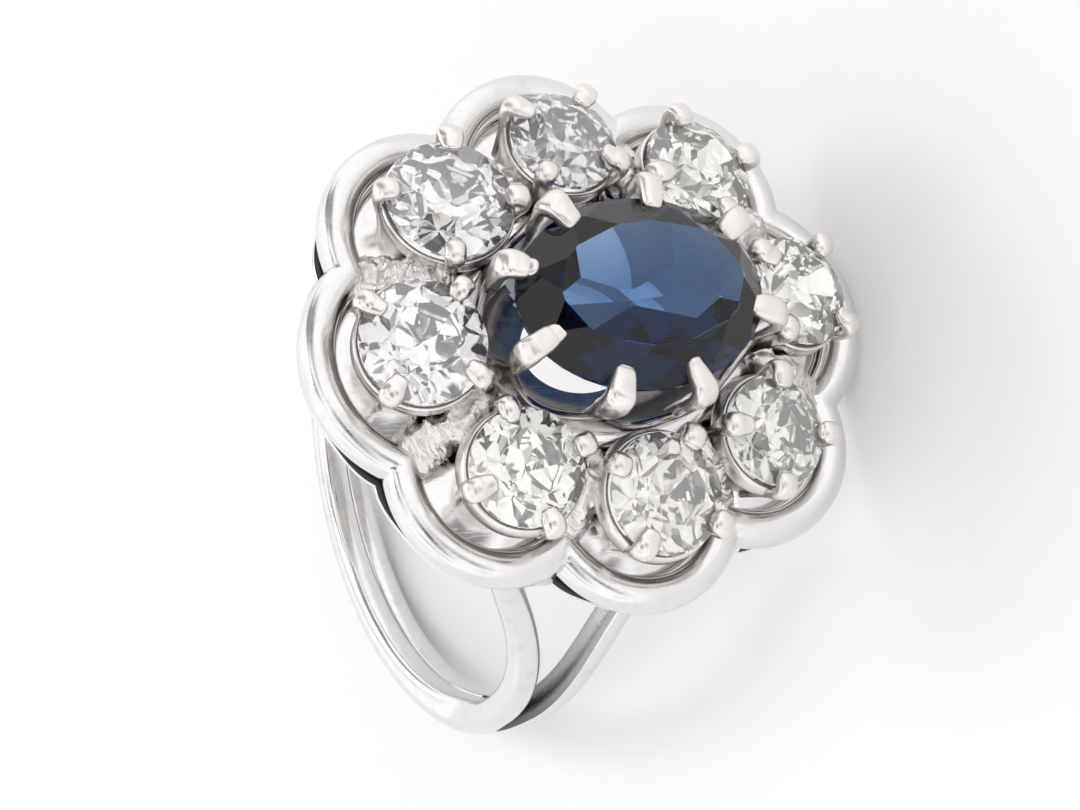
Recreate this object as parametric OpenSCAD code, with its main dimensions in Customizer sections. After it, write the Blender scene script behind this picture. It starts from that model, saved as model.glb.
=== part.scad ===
// Oval sapphire and diamond cluster ring in white metal, lying on its side.
// Every sub-part is drawn upright first, as the ring is worn: +Z points out of the middle
// stone, Y runs along the finger, X across it, and z = 0 is the widest level of the border.
// rest() then lays the whole ring down on one end of the cluster and the edge of the band.

/* [Shank] */
// Inner diameter of the finger hole
hole_d = 17.6; // [15:0.1:20]
// Middle of the finger hole below the border
hole_drop = 11.8; // [11.2:0.1:14]
// Thickness of the band at the bottom
band_t = 1.3; // [1:0.1:1.6]
// How much thicker the band is at the shoulders
band_gain = 0.4; // [0:0.1:0.6]
// Width of the band along the finger
band_w = 1.85; // [1.6:0.05:2.4]
// Angle up from the bottom at which the band splits in two arms
split_angle = 74; // [66:1:84]
// Width of one arm of a shoulder
arm_w = 1.08; // [0.9:0.02:1.3]
// Thickness of one arm of a shoulder
arm_t = 1.16; // [0.9:0.02:1.4]
// Half of the distance between the two arms of a shoulder, where they reach the border
arm_spread = 3.65; // [3.2:0.05:3.8]

/* [Border] */
// Half length of the border along the finger, at its creases
border_long = 9.91; // [9.6:0.01:10.4]
// Half width of the border across the finger, at its creases
border_short = 8.52; // [8.3:0.01:8.9]
// Rise of each lobe over the line between its creases
lobe_rise = 1.95; // [1.6:0.05:2.2]
// Width of the polished border
border_w = 1.1; // [0.9:0.05:1.3]
// Height of the border below its widest level
border_h = 0.9; // [0.6:0.05:1.2]
// Height of the inset wall below the border
wall_h = 0.5; // [0.4:0.05:1]
// Step in from the border's edge to the inset wall
wall_inset = 0.35; // [0.2:0.05:0.45]

/* [Stones] */
// Half length of the sapphire
sapphire_long = 4.7; // [4.4:0.05:4.8]
// Half width of the sapphire
sapphire_short = 3.46; // [3.2:0.02:3.5]
// Height of the sapphire's girdle over the border
sapphire_z = 4.3; // [3.8:0.05:4.8]
// Distance of the diamonds from the middle, along the finger
diamond_long = 7.4; // [7.3:0.05:7.6]
// Distance of the diamonds from the middle, across the finger
diamond_short = 6.5; // [6.4:0.05:6.7]
// Height of the diamonds' girdles over the border
diamond_z = 2.25; // [2:0.05:2.5]
// Outward tilt of the diamonds
diamond_tilt = 12; // [6:1:16]
// Half length of the window in the plate under the sapphire
window_long = 2.25; // [1.8:0.05:4]
// Half width of the window in the plate under the sapphire
window_short = 1.7; // [1.4:0.05:2.8]

/* [Resting place] */
// Turn about the finger axis, on to one side of the lobe that it lies on
roll = 14.57; // [0:0.01:60]
// Lean of the finger axis over towards the floor
lean = 64.13; // [45:0.01:75]
// Turn on the floor, so that the cluster faces -Y
turn = -163.9; // [-180:0.1:180]

/* [Hidden] */
$fn = 96;
// Place of the ring's own origin over the floor, once it lies on its side
rest_at = [-0.002, -6.66, 10.032];
hole_r = hole_d / 2;
// Parametric angles of the first two creases and of the first diagonal diamond
crease_a = 20.3;
crease_b = 63.8;
diagonal = 41.4;
// Diameters of the diamonds, from the near shoulder round towards +Y
diamond_d = [4.25, 3.9, 4.0, 4.0, 3.9, 4.5, 4.45, 4.1];
// Turn of each diamond's four claws
claw_turn = [8, -4, 3, 0, 5, -6, -3, 4];
girdle_t = 0.12;
plate_z = -1.35;
plate_t = 0.6;
collet_h = 3.42;
collet_foot = 1.6;
metal = [0.86, 0.85, 0.84];
ice = [0.92, 0.94, 0.95];
blue = [0.12, 0.2, 0.42];

function mirrored(a, b) = [a, b, 180 - b, 180 - a, 180 + a, 180 + b, 360 - b, 360 - a];
function crease(k) =
    let (a = mirrored(crease_a, crease_b)[(k + 8) % 8])
    [border_short * cos(a), border_long * sin(a)];
function chord(k) = crease(k) - crease(k - 1);
function half_chord(k) = norm(chord(k)) / 2;
function outward(k) = [chord(k).y, -chord(k).x] / norm(chord(k));
function lobe_r(k) = (pow(half_chord(k), 2) + pow(lobe_rise, 2)) / (2 * lobe_rise);
function lobe_middle(k) =
    (crease(k) + crease(k - 1)) / 2 - (lobe_r(k) - lobe_rise) * outward(k);
function azimuth(v) = atan2(v.y, v.x);
function diamond_angle(k) = [0, diagonal, 90, 180 - diagonal, 180, 180 + diagonal, 270, 360 - diagonal][k];
function diamond_at(k) =
    [diamond_short * cos(diamond_angle(k)), diamond_long * sin(diamond_angle(k)), diamond_z];
function oval(grow, a, z) =
    [(sapphire_short + grow) * cos(a), (sapphire_long + grow) * sin(a), z];
function claw_angle(k) = 22.5 + 45 * k;

// A straight rod from p to q, with radius r at p and s at q
module rod(p, q, r, s) {
    d = q - p;
    translate(p)
        rotate([0, acos(d.z / norm(d)), azimuth(d)])
            cylinder(h = norm(d), r1 = r, r2 = s, $fn = 24);
}

module ball(p, r) {
    translate(p) sphere(r = r, $fn = 24);
}

// Section of the band: flat sides and a low dome with soft corners, radius along x
module band_section() {
    half = band_w / 2;
    outer = hole_r + band_t + band_gain;
    polygon(concat([[hole_r - 0.5, half], [hole_r - 0.5, -half], [outer - 0.45, -half]],
        [for (y = [-0.88, -0.6, -0.3, 0, 0.3, 0.6, 0.88]) [outer - 0.3 * y * y, half * y]],
        [[outer - 0.45, half]]));
}

// The closed lower part of the shank, its outer circle a little higher than the finger hole
module band() {
    difference() {
        translate([0, 0, band_gain - hole_drop])
            rotate([90, 0, 0])
                rotate([0, 0, -90 - split_angle])
                    rotate_extrude(angle = 2 * split_angle) band_section();
        translate([0, 0, -hole_drop])
            rotate([90, 0, 0])
                cylinder(h = band_w + 1, r = hole_r, center = true);
    }
}

// Point at t on the smooth curve that the guide points p pull towards themselves
function curve(p, t) = len(p) == 1 ? p[0] :
    curve([for (i = [1:len(p) - 1]) (1 - t) * p[i - 1] + t * p[i]], t);
function unit(v) = v / norm(v);

// A circle's cosine or sine, pushed out towards a square with soft corners
function soft(v) = sign(v) * pow(abs(v), 0.7);

// One arm of a shoulder: a soft-cornered bar swept from inside the band up to a crease
module arm() {
    rings = 18;
    sides = 12;
    low_angle = 62;
    low_r = hole_r + 0.75;
    guides = [[low_r * sin(low_angle), 0.45, -hole_drop - low_r * cos(low_angle)],
              [11.25, 1.28, 0.85 - hole_drop],
              [9.08, -0.06, 6.58 - hole_drop],
              [4.52, arm_spread + 0.65, 4.68 - hole_drop],
              [7.62, arm_spread, -border_h]];
    points = [for (i = [0:rings]) let (
            t = i / rings,
            along = unit(curve(guides, t + 0.01) - curve(guides, t - 0.01)),
            side = unit([0, 1, 0] - along.y * along),
            out = cross(side, along),
            grow = 0.7 + 0.3 * min(1, 6 * t))
        for (j = [0:sides - 1]) let (b = 360 * j / sides)
            curve(guides, t) + grow / 2 * (arm_w * soft(cos(b)) * side + arm_t * soft(sin(b)) * out)];
    walls = [for (i = [0:rings - 1], j = [0:sides - 1], h = [0, 1]) let (
            a = i * sides + j,
            b = i * sides + (j + 1) % sides)
        h == 0 ? [a, b, b + sides] : [a, b + sides, a + sides]];
    ends = [[for (j = [sides - 1:-1:0]) j], [for (j = [0:sides - 1]) rings * sides + j]];
    polyhedron(points, concat(walls, ends), convexity = 4);
}

module shoulders() {
    for (x = [0, 1], y = [0, 1]) mirror([x, 0, 0]) mirror([0, y, 0]) arm();
}

// A solid swept once round and closed, from rings of points that each run up outside, down inside
module closed_sweep(points, rings, sides) {
    faces = [for (i = [0:rings - 1], j = [0:sides - 1], h = [0, 1]) let (
            next = (j + 1) % sides,
            a = i * sides + j,
            b = i * sides + next,
            c = (i + 1) % rings * sides + j,
            d = (i + 1) % rings * sides + next)
        h == 0 ? [a, b, d] : [a, d, c]];
    polyhedron(points, faces, convexity = 6);
}

// Where lobe k meets lobe k + 1, at an inset from the outline
function meet(k, inset) =
    let (d = lobe_middle(k + 1) - lobe_middle(k),
        u = d / norm(d),
        r = lobe_r(k) - inset,
        s = lobe_r(k + 1) - inset,
        along = (d * d + r * r - s * s) / (2 * norm(d)))
    lobe_middle(k) + along * u + sqrt(r * r - along * along) * [u.y, -u.x];
function near(a, b) = a + 360 * round((b - a) / 360);

// The border: a domed band over a thinner inset wall, in eight lobes
module border() {
    steps = 8;
    half = border_w / 2;
    section = concat([for (i = [0:6]) [half - half * cos(30 * i), half * sin(30 * i)]],
        [[border_w, -border_h], [border_w - 0.2, -border_h], [border_w - 0.2, -border_h - wall_h],
         [wall_inset, -border_h - wall_h], [wall_inset, -border_h], [0, -border_h + 0.25]]);
    points = [for (k = [0:7], i = [0:steps - 1], s = section) let (
            middle = lobe_middle(k),
            first = azimuth(meet(k - 1, s.x) - middle),
            last = near(azimuth(meet(k, s.x) - middle), first + 50),
            a = first + (last - first) * i / steps,
            r = lobe_r(k) - s.x)
        [middle.x + r * cos(a), middle.y + r * sin(a), s.y]];
    closed_sweep(points, 8 * steps, len(section));
}

// Middle of the foot of a collet, on the plate
function foot(k) = let (p = diamond_at(k)) [p.x, p.y] - collet_h * sin(diamond_tilt) * outward(k);

// Pierced plate under the stones, from the border's wall in to the coronet
module gallery() {
    in_wall = wall_inset + 0.25;
    translate([0, 0, plate_z])
        linear_extrude(height = plate_t)
            difference() {
                for (k = [0:7]) translate(lobe_middle(k)) circle(r = lobe_r(k) - in_wall);
                polygon([for (a = [0:7.5:352.5]) [window_short * cos(a), window_long * sin(a)]]);
                for (k = [0:7]) translate(foot(k)) circle(r = collet_foot - 0.25, $fn = 48);
            }
}

// Moves a shape drawn round a stone's axis to diamond k, with x pointing outward
module at_diamond(k) {
    translate(diamond_at(k))
        rotate([0, 0, azimuth(outward(k))])
            rotate([0, diamond_tilt, 0])
                children();
}

// An open cone cup with four small claws
module collet(k) {
    r = diamond_d[k] / 2;
    top = -0.4;
    wire = 0.22;
    shoulder = [r + 0.36, 0, 0.3];
    at_diamond(k) {
        difference() {
            translate([0, 0, -collet_h])
                cylinder(h = collet_h + top, r1 = collet_foot, r2 = r + 0.12, $fn = 48);
            translate([0, 0, -collet_h - 0.1])
                cylinder(h = collet_h + 0.11 + top, r1 = collet_foot - 0.4, r2 = r - 0.26, $fn = 48);
        }
        for (i = [0:3]) rotate([0, 0, 45 + 90 * i + claw_turn[k]]) {
            rod([collet_foot + 0.1, 0, 0.6 - collet_h], shoulder, wire, wire);
            ball(shoulder, wire + 0.06);
            ball([r + 0.12, 0, 0.48], wire + 0.14);
        }
    }
}

// Oval cup of the middle stone, its upper edge dipping between the claws
module coronet() {
    steps = 64;
    wall = 0.4;
    foot_z = plate_z + 0.1;
    knee_r = 0.42;
    function edge_z(a) = 3.3 - 1.5 * pow(abs(sin(4 * (a - claw_angle(0)))), 0.7);
    function spread(z) = -0.35 + 0.85 * (z - foot_z) / (sapphire_z - foot_z);
    points = [for (i = [0:steps - 1]) let (a = 360 * i / steps, z = edge_z(a))
        each [oval(spread(foot_z) + wall, a, foot_z), oval(spread(z) + wall, a, z),
              oval(spread(z), a, z), oval(spread(foot_z), a, foot_z)]];
    closed_sweep(points, steps, 4);
    for (k = [0:7]) {
        a = claw_angle(k);
        knee = oval(0.5, a, sapphire_z + 0.3);
        rod(oval(-0.05, a, foot_z), knee, knee_r, knee_r - 0.03);
        ball(knee, knee_r);
        rod(knee, oval(-0.42, a, sapphire_z + 0.83), knee_r - 0.03, 0.3);
    }
}

module upright_setting() {
    band();
    shoulders();
    border();
    gallery();
    for (k = [0:7]) collet(k);
    coronet();
}

// Lays the upright ring down on its side
module rest() {
    translate(rest_at)
        rotate([0, 0, turn])
            rotate([-lean, 0, 0])
                rotate([0, roll, 0])
                    children();
}

module setting() {
    color(metal) rest() upright_setting();
}

module sapphire() {
    crown = 1.15;
    depth = 2.9;
    color(blue) rest() translate([0, 0, sapphire_z])
        hull() {
            for (s = [[1, -girdle_t / 2, girdle_t, 32], [0.6, crown - 0.02, 0.02, 8], [0.12, -depth, 0.02, 8]])
                translate([0, 0, s[1]])
                    scale([sapphire_short / sapphire_long, 1, 1])
                        rotate([0, 0, 22.5])
                            cylinder(h = s[2], r = sapphire_long * s[0], $fn = s[3]);
        }
}

module diamond(k) {
    r = diamond_d[k] / 2;
    color(ice) rest() at_diamond(k)
        hull() {
            for (s = [[1, -girdle_t / 2, girdle_t, 16], [0.52, 0.36 * r, 0.02, 8], [0.1, -0.86 * r, 0.02, 8]])
                translate([0, 0, s[1]]) rotate([0, 0, 22.5]) cylinder(h = s[2], r = r * s[0], $fn = s[3]);
        }
}

setting();
sapphire();
diamond(0);  // diamond_1
diamond(1);  // diamond_2
diamond(2);  // diamond_3
diamond(3);  // diamond_4
diamond(4);  // diamond_5
diamond(5);  // diamond_6
diamond(6);  // diamond_7
diamond(7);  // diamond_8
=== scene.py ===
import logging
import math
import random
from dataclasses import dataclass
from enum import Enum
from typing import Callable, ClassVar, Iterable, Sequence

import bmesh
import bpy
from mathutils import Matrix, Quaternion, Vector, noise


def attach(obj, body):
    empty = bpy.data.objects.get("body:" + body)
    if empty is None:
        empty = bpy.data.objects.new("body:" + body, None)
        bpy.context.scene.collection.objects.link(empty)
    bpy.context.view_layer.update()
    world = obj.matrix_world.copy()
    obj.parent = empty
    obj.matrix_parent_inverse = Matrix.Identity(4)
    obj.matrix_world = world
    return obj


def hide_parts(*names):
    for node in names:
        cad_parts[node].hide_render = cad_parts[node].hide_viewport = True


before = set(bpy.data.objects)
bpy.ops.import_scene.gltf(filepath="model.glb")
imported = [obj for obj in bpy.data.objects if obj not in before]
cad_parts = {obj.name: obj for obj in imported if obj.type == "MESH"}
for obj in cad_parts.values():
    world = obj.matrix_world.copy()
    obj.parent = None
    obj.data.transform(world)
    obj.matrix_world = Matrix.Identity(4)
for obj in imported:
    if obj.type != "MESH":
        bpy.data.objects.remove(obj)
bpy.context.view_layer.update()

LOG = logging.getLogger("cluster_ring")
MM = 0.001
BODY = "root"
METAL_NODE = "setting"
WEAR_SEED = 3
UP = Vector((0, 0, 1))

# Where the upright ring's own origin lands in mm, and the turns that lay the ring on its side
LYING_AT = (-0.002, -6.66, 10.032)
LYING_TURNS = ((-163.9, "Z"), (-64.13, "X"), (14.57, "Y"))

Colour = tuple[float, float, float]
Place = tuple[float, float, float]
Station = tuple[Vector, Vector, Vector, float, float]


class Slot(Enum):
    """The record's material slots."""

    METAL = "white_metal"
    SAPPHIRE = "sapphire"
    DIAMOND = "diamond"


def turned(degrees: float, axis: str) -> Matrix:
    """A turn about one axis, as a 4 by 4 matrix."""
    return Matrix.Rotation(math.radians(degrees), 4, axis)


def unit(angle: float) -> Vector:
    """The flat unit vector at an angle in degrees."""
    return Vector((math.cos(math.radians(angle)), math.sin(math.radians(angle))))


def azimuth(flat: Vector) -> float:
    """The angle of a flat vector, in degrees."""
    return math.degrees(math.atan2(flat.y, flat.x))


def eased(value: float) -> float:
    """A value from 0 to 1, eased at both ends."""
    value = min(1.0, max(0.0, value))
    return value * value * (3 - 2 * value)


def squared(value: float, power: float) -> float:
    """A sine or cosine pushed out towards a square: the lower the power, the squarer."""
    return math.copysign(abs(value) ** power, value)


def laid_down() -> Matrix:
    """The place of the upright ring, in metres, once it lies on its side on the floor.

    Returns:
        The turns and the shift as one matrix.
    """
    place = Matrix.Translation(Vector(LYING_AT) * MM)
    for degrees, axis in LYING_TURNS:
        place = place @ turned(degrees, axis)
    return place


@dataclass(frozen=True)
class ClusterPlan:
    """Sizes in mm that several pieces share, with the ring upright as it is worn."""

    hole_r: float = 8.8
    hole_drop: float = 11.8
    border_long: float = 9.91
    border_short: float = 8.52
    lobe_rise: float = 1.95
    crease_a: float = 20.3
    crease_b: float = 63.8
    lobe_turn: float = 50.0
    diagonal: float = 41.4
    diamond_long: float = 7.4
    diamond_short: float = 6.5
    diamond_z: float = 2.25
    diamond_tilt: float = 12.0
    diamond_d: tuple[float, ...] = (4.25, 3.9, 4.0, 4.0, 3.9, 4.5, 4.45, 4.1)
    sapphire_long: float = 4.7
    sapphire_short: float = 3.46
    sapphire_z: float = 4.3
    collet_h: float = 3.42
    collet_foot: float = 1.6
    metal_bottom: float = -1.33

    def crease(self, k: int) -> Vector:
        """The crease between lobe k and the next one.

        Args:
            k: The lobe.

        Returns:
            The point, seen from above.
        """
        a, b = self.crease_a, self.crease_b
        angle = (a, b, 180 - b, 180 - a, 180 + a, 180 + b, 360 - b, 360 - a)[k % 8]
        way = unit(angle)
        return Vector((self.border_short * way.x, self.border_long * way.y))

    def chord(self, k: int) -> Vector:
        """From one crease of lobe k to the other."""
        return self.crease(k) - self.crease(k - 1)

    def outward(self, k: int) -> Vector:
        """The way that lobe k faces, seen from above."""
        chord = self.chord(k)
        return Vector((chord.y, -chord.x)).normalized()

    def lobe_r(self, k: int) -> float:
        """Radius of the outline of lobe k."""
        half = self.chord(k).length / 2
        return (half * half + self.lobe_rise ** 2) / (2 * self.lobe_rise)

    def lobe_middle(self, k: int) -> Vector:
        """Middle of the circle that lobe k follows."""
        mid = (self.crease(k) + self.crease(k - 1)) / 2
        return mid - (self.lobe_r(k) - self.lobe_rise) * self.outward(k)

    def meet(self, k: int, inset: float) -> Vector:
        """Where lobes k and k + 1 meet, at an inset from the outline.

        Args:
            k: The first of the two lobes.
            inset: Distance in from the outline.

        Returns:
            The point, seen from above.
        """
        first, second = self.lobe_middle(k), self.lobe_middle(k + 1)
        between = second - first
        way = between.normalized()
        r, s = self.lobe_r(k) - inset, self.lobe_r(k + 1) - inset
        along = (between.length_squared + r * r - s * s) / (2 * between.length)
        return first + along * way + math.sqrt(r * r - along * along) * Vector((way.y, -way.x))

    def lobe_line(self, k: int, inset: float, steps: int) -> list[Vector]:
        """Points along lobe k from one crease to just before the next.

        Args:
            k: The lobe.
            inset: Distance in from the outline.
            steps: Number of points.

        Returns:
            The points, seen from above.
        """
        middle = self.lobe_middle(k)
        first = azimuth(self.meet(k - 1, inset) - middle)
        last = azimuth(self.meet(k, inset) - middle)
        last += 360 * round((first + self.lobe_turn - last) / 360)
        r = self.lobe_r(k) - inset
        return [middle + r * unit(first + (last - first) * i / steps) for i in range(steps)]

    def diamond_r(self, k: int) -> float:
        """Radius of diamond k."""
        return self.diamond_d[k] / 2

    def diamond_middle(self, k: int) -> Vector:
        """Middle of the girdle of diamond k.

        Args:
            k: The diamond.

        Returns:
            The point.
        """
        d = self.diagonal
        way = unit((0, d, 90, 180 - d, 180, 180 + d, 270, 360 - d)[k])
        return Vector((self.diamond_short * way.x, self.diamond_long * way.y, self.diamond_z))

    def diamond_place(self, k: int) -> Matrix:
        """Moves a shape drawn round a stone's axis to diamond k, with x pointing outward."""
        facing = turned(azimuth(self.outward(k)), "Z") @ turned(self.diamond_tilt, "Y")
        return Matrix.Translation(self.diamond_middle(k)) @ facing

    def foot(self, k: int) -> Vector:
        """Middle of the foot of collet k, seen from above."""
        lean = self.collet_h * math.sin(math.radians(self.diamond_tilt))
        return self.diamond_middle(k).xy - lean * self.outward(k)

    def oval(self, grow: float, angle: float, z: float) -> Vector:
        """A point on the sapphire's outline, grown outward and lifted.

        Args:
            grow: Growth of both half axes.
            angle: Parametric angle in degrees.
            z: Height.

        Returns:
            The point in the upright ring's frame.
        """
        way = unit(angle)
        return Vector(((self.sapphire_short + grow) * way.x, (self.sapphire_long + grow) * way.y, z))


@dataclass(frozen=True)
class Guide:
    """A point that a swept bar passes through, with its size there, in mm."""

    at: Vector
    wide: float
    thick: float


def through(guides: Sequence[Guide], steps: int) -> list[Guide]:
    """Guides on a smooth curve through the given ones.

    Args:
        guides: The guides to pass through.
        steps: Number of new guides between two given ones.

    Returns:
        The denser list, with both ends kept.
    """
    rows = [(*g.at, g.wide, g.thick) for g in guides]
    rows = [[2 * a - b for a, b in zip(rows[0], rows[1])], *rows,
            [2 * a - b for a, b in zip(rows[-1], rows[-2])]]
    dense = []
    for p, q, r, s in zip(rows, rows[1:], rows[2:], rows[3:]):
        for i in range(steps):
            t = i / steps
            dense.append([
                0.5 * (2 * b + (c - a) * t + (2 * a - 5 * b + 4 * c - d) * t * t
                       + (3 * b - a - 3 * c + d) * t ** 3)
                for a, b, c, d in zip(p, q, r, s)])
    dense.append(rows[-2])
    return [Guide(Vector(row[:3]), row[3], row[4]) for row in dense]


def face_outward(mesh: bmesh.types.BMesh, faces: Sequence[bmesh.types.BMFace]) -> None:
    """Turns the faces of one closed shell outward.

    Args:
        mesh: The mesh.
        faces: The shell's faces.
    """
    bulk = 0.0
    for face in faces:
        first, *others = [v.co for v in face.verts]
        bulk += sum(first.dot(b.cross(c)) for b, c in zip(others, others[1:]))
    if bulk < 0:
        bmesh.ops.reverse_faces(mesh, faces=faces)


class Draft:
    """A mesh drawn in mm in the upright ring's frame, then made a piece of the ring."""

    ROUNDING: ClassVar[tuple[float, ...]] = (75, 55, 35, 15)

    def __init__(self) -> None:
        """Starts with nothing drawn."""
        self.mesh = bmesh.new()

    def loft(self, rings: Sequence[Sequence[Vector]], closed: bool = False) -> None:
        """Joins rings of points, each ring closed on itself.

        Args:
            rings: The rings, all with the same number of points.
            closed: Whether the last ring joins the first; otherwise both ends are capped.
        """
        rows = [[self.mesh.verts.new(p) for p in ring] for ring in rings]
        faces = []
        pairs = list(zip(rows, rows[1:]))
        if closed:
            pairs.append((rows[-1], rows[0]))
        for near, far in pairs:
            for i, (a, d) in enumerate(zip(near, far)):
                j = (i + 1) % len(near)
                faces.append(self.mesh.faces.new((a, near[j], far[j], d)))
        if not closed:
            faces += [self.mesh.faces.new(rows[0][::-1]), self.mesh.faces.new(rows[-1])]
        face_outward(self.mesh, faces)

    def turn(self, profile: Sequence[tuple[float, float]], steps: int, place: Matrix) -> None:
        """Turns a closed profile round an axis.

        Args:
            profile: Points as distance from the axis and height.
            steps: Number of steps round.
            place: Moves the turned shape to its place.
        """
        rings = []
        for i in range(steps):
            way = unit(360 * i / steps)
            rings.append([place @ Vector((s * way.x, s * way.y, h)) for s, h in profile])
        self.loft(rings, closed=True)

    @staticmethod
    def rounded(station: Station, beyond: Vector, angle: float) -> Station:
        """A smaller station past the end of a bar, which rounds it off.

        Args:
            station: The last station: middle, sideways, outward, half width and half thickness.
            beyond: The way past the end.
            angle: From 0 at the station to 90 at the tip, in degrees.

        Returns:
            The new station.
        """
        at, side, out, half, depth = station
        rise, shrink = math.sin(math.radians(angle)), math.cos(math.radians(angle))
        return at + beyond * depth * rise, side, out, half * shrink, depth * shrink

    def bar(self, guides: Sequence[Guide], across: Vector, power: float = 0.75, sides: int = 20,
            place: Matrix = Matrix.Identity(4), shape: Callable[[Vector], Vector] | None = None) -> None:
        """Sweeps a soft-cornered bar with rounded ends along guides.

        Args:
            guides: The bar's middle line and sizes.
            across: The way of its width.
            power: Squareness of the section, 1 for an ellipse.
            sides: Number of points round the section.
            place: Moves the bar to its place.
            shape: Moves each finished point, for worn or filed surfaces.
        """
        places = [guides[0].at, *(g.at for g in guides), guides[-1].at]
        ways = [(after - before).normalized() for before, after in zip(places, places[2:])]
        stations = []
        for g, along in zip(guides, ways):
            side = (across - along * across.dot(along)).normalized()
            stations.append((g.at, side, side.cross(along), g.wide / 2, g.thick / 2))
        head = [self.rounded(stations[0], -ways[0], a) for a in self.ROUNDING]
        tail = [self.rounded(stations[-1], ways[-1], a) for a in self.ROUNDING[::-1]]
        rings = []
        for at, side, out, half, depth in head + stations + tail:
            ring = []
            for j in range(sides):
                way = unit(360 * j / sides)
                point = at + side * half * squared(way.x, power) + out * depth * squared(way.y, power)
                ring.append(place @ (shape(point) if shape else point))
            rings.append(ring)
        self.loft(rings)

    def piece(self, name: str, finishes: Iterable[bpy.types.Material], slot: Slot, nodes: Sequence[str],
              smooth: float | None = 38.0) -> bpy.types.Object:
        """Turns the drawing into a piece that lies with the ring and rides on it.

        Args:
            name: Name of the piece.
            finishes: Its materials.
            slot: The record's slot of its finish; not used.
            nodes: CAD nodes that it stands for.
            smooth: Edges sharper than this angle in degrees stay sharp; None for flat facets.

        Returns:
            The new object.
        """
        bmesh.ops.transform(self.mesh, matrix=laid_down() @ Matrix.Scale(MM, 4), verts=self.mesh.verts)
        data = bpy.data.meshes.new(name)
        self.mesh.to_mesh(data)
        self.mesh.free()
        for face in data.polygons:
            face.use_smooth = smooth is not None
        if smooth is not None:
            data.set_sharp_from_angle(angle=math.radians(smooth))
        for material in finishes:
            data.materials.append(material)
        made = bpy.data.objects.new(name, data)
        bpy.context.scene.collection.objects.link(made)
        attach(made, BODY)
        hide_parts(*nodes)
        LOG.info("%s: %d faces, stands for %s", name, len(data.polygons), ", ".join(nodes))
        return made


class Board:
    """A node tree with short calls to add and join nodes."""

    def __init__(self, tree: bpy.types.NodeTree) -> None:
        """Clears the tree.

        Args:
            tree: The tree of a material or of the world.
        """
        self.tree = tree
        tree.nodes.clear()

    def add(self, kind: str, inputs: dict | None = None, **settings: object) -> bpy.types.Node:
        """Adds a node.

        Args:
            kind: Blender's name of the node type.
            inputs: Values or sockets for its inputs, by name or number.
            settings: Its own settings.

        Returns:
            The new node.
        """
        node = self.tree.nodes.new(kind)
        for name, value in settings.items():
            setattr(node, name, value)
        for name, value in (inputs or {}).items():
            if isinstance(value, bpy.types.NodeSocket):
                self.tree.links.new(value, node.inputs[name])
            else:
                node.inputs[name].default_value = value
        return node

    def noise(self, at: bpy.types.NodeSocket, scale: float, detail: float = 3.0,
              rough: float = 0.5) -> bpy.types.NodeSocket:
        """A soft random pattern from 0 to 1.

        Args:
            at: Where it is read.
            scale: Its fineness.
            detail: Number of finer layers.
            rough: Strength of the finer layers.

        Returns:
            The pattern's value.
        """
        inputs = {"Vector": at, "Scale": scale, "Detail": detail, "Roughness": rough}
        return self.add("ShaderNodeTexNoise", inputs).outputs["Fac"]

    def ramp(self, value: bpy.types.NodeSocket, low: float, high: float, start: float = 0.0,
             end: float = 1.0) -> bpy.types.NodeSocket:
        """Maps a value from one range to another, clamped.

        Args:
            value: The value to map.
            low: Lower end of its range.
            high: Upper end of its range.
            start: Result at the lower end.
            end: Result at the upper end.

        Returns:
            The mapped value.
        """
        made = self.add("ShaderNodeMapRange", {0: value, 1: low, 2: high, 3: start, 4: end},
                        interpolation_type="SMOOTHSTEP")
        return made.outputs[0]

    def maths(self, operation: str, *values: object) -> bpy.types.NodeSocket:
        """One sum on values or sockets.

        Args:
            operation: Blender's name of the operation.
            values: One or two values or sockets.

        Returns:
            The result.
        """
        return self.add("ShaderNodeMath", dict(enumerate(values)), operation=operation).outputs[0]

    def blend(self, part: bpy.types.NodeSocket, first: object, second: object) -> bpy.types.NodeSocket:
        """Mixes two colours.

        Args:
            part: Share of the second colour.
            first: First colour.
            second: Second colour.

        Returns:
            The mixed colour.
        """
        made = self.add("ShaderNodeMix", {0: part, 6: first, 7: second}, data_type="RGBA")
        return made.outputs[2]

    def millimetres(self, stretch: tuple[float, float, float] = (1, 1, 1),
                    turn: tuple[float, float, float] = (0, 0, 0)) -> bpy.types.NodeSocket:
        """The piece's own coordinates in mm.

        Args:
            stretch: Scale of each axis.
            turn: Turn of the axes in radians.

        Returns:
            The coordinates.
        """
        at = self.add("ShaderNodeTexCoord").outputs["Object"]
        scale = tuple(s / MM for s in stretch)
        made = self.add("ShaderNodeMapping", {"Vector": at, "Rotation": turn, "Scale": scale})
        return made.outputs[0]

    def upright_height(self) -> bpy.types.NodeSocket:
        """The height in mm in the frame of the upright ring.

        Returns:
            The height.
        """
        place = laid_down().inverted()
        inputs = {"Vector": self.add("ShaderNodeTexCoord").outputs["Object"], "Rotation": place.to_euler(),
                  "Scale": (1 / MM,) * 3, "Location": place.translation / MM}
        made = self.add("ShaderNodeMapping", inputs)
        return self.add("ShaderNodeSeparateXYZ", {0: made.outputs[0]}).outputs["Z"]


def rgba(colour: Colour, share: float = 1.0) -> tuple[float, float, float, float]:
    """A colour, or a share of its brightness, as a node takes it."""
    return (*(share * part for part in colour), 1.0)


def bare_material(name: str) -> tuple[bpy.types.Material, Board]:
    """Makes a material without nodes.

    Args:
        name: Its name.

    Returns:
        The material and the board of its node tree.
    """
    made = bpy.data.materials.new(name)
    made.use_nodes = True
    return made, Board(made.node_tree)


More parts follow.
